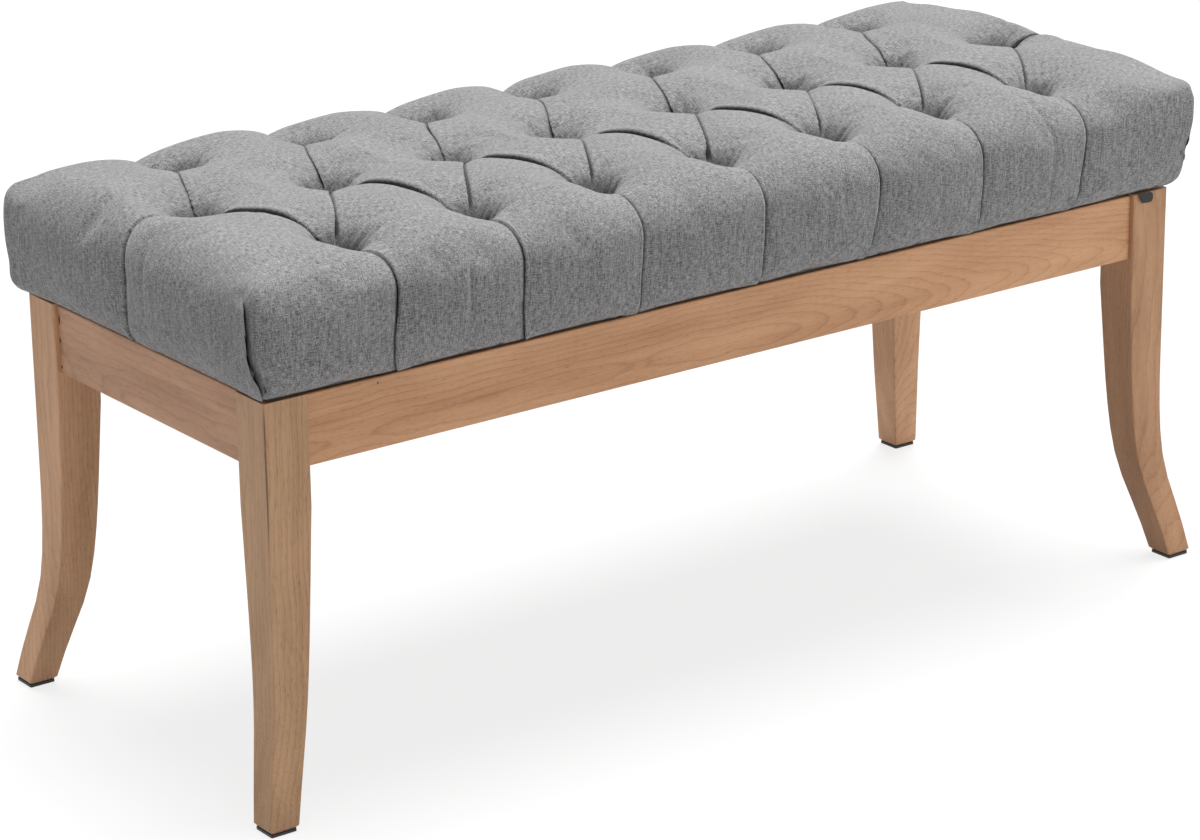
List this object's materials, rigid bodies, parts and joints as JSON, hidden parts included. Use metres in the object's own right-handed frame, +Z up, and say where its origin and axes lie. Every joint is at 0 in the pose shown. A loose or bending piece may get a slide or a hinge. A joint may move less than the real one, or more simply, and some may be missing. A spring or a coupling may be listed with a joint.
{
  "type": "upholstered bench",
  "caption": "Long backless bench with a deep diamond-tufted padded seat on an open hardwood frame with outward-curving legs.",
  "frame": {"origin": "on the floor, under the middle of the bench", "axes": "+X along the bench's length, +Y from front to back, +Z up"},
  "size_m": [1.047, 0.429, 0.4871],
  "materials": {
    "hardwood": "oiled pale hardwood, satin",
    "block_wood": "plain sawn softwood, unfinished",
    "plywood": "sanded plywood",
    "linen": "grey melange linen-look weave",
    "foam": null,
    "dust_cloth": "black non-woven dust cloth",
    "twine": "waxed tufting twine",
    "zinc_steel": "zinc-plated steel",
    "glide_plastic": "black moulded plastic",
    "tag_ribbon": "plain black woven ribbon, no lettering"
  },
  "bodies": {
    "root": {"leg_front_left": "hardwood", "floor_glide_front_left": "glide_plastic", "corner_block_front_left": "block_wood", "hanger_bolt_front_left": "zinc_steel", "washer_front_left": "zinc_steel", "hex_nut_front_left": "zinc_steel", "seat_screw_front_left": "zinc_steel", "leg_front_right": "hardwood", "floor_glide_front_right": "glide_plastic", "corner_block_front_right": "block_wood", "hanger_bolt_front_right": "zinc_steel", "washer_front_right": "zinc_steel", "hex_nut_front_right": "zinc_steel", "seat_screw_front_right": "zinc_steel", "leg_back_right": "hardwood", "floor_glide_back_right": "glide_plastic", "corner_block_back_right": "block_wood", "hanger_bolt_back_right": "zinc_steel", "washer_back_right": "zinc_steel", "hex_nut_back_right": "zinc_steel", "seat_screw_back_right": "zinc_steel", "leg_back_left": "hardwood", "floor_glide_back_left": "glide_plastic", "corner_block_back_left": "block_wood", "hanger_bolt_back_left": "zinc_steel", "washer_back_left": "zinc_steel", "hex_nut_back_left": "zinc_steel", "seat_screw_back_left": "zinc_steel", "apron_front": "hardwood", "apron_back": "hardwood", "apron_left": "hardwood", "apron_right": "hardwood", "centre_rail": "block_wood", "tuft_tie_front_1": "twine", "tuft_tie_front_2": "twine", "tuft_tie_front_3": "twine", "tuft_tie_front_4": "twine", "tuft_tie_front_5": "twine", "tuft_tie_front_6": "twine", "tuft_tie_front_7": "twine", "tuft_tie_middle_1": "twine", "tuft_tie_middle_2": "twine", "tuft_tie_middle_3": "twine", "tuft_tie_middle_4": "twine", "tuft_tie_middle_5": "twine", "tuft_tie_middle_6": "twine", "tuft_tie_middle_7": "twine", "tuft_tie_middle_8": "twine", "tuft_tie_back_1": "twine", "tuft_tie_back_2": "twine", "tuft_tie_back_3": "twine", "tuft_tie_back_4": "twine", "tuft_tie_back_5": "twine", "tuft_tie_back_6": "twine", "tuft_tie_back_7": "twine", "dust_cloth": "dust_cloth", "seat_board": "plywood", "foam_core": "foam", "tufted_cover": "linen", "side_tag": "tag_ribbon"}
  },
  "joints": []
}
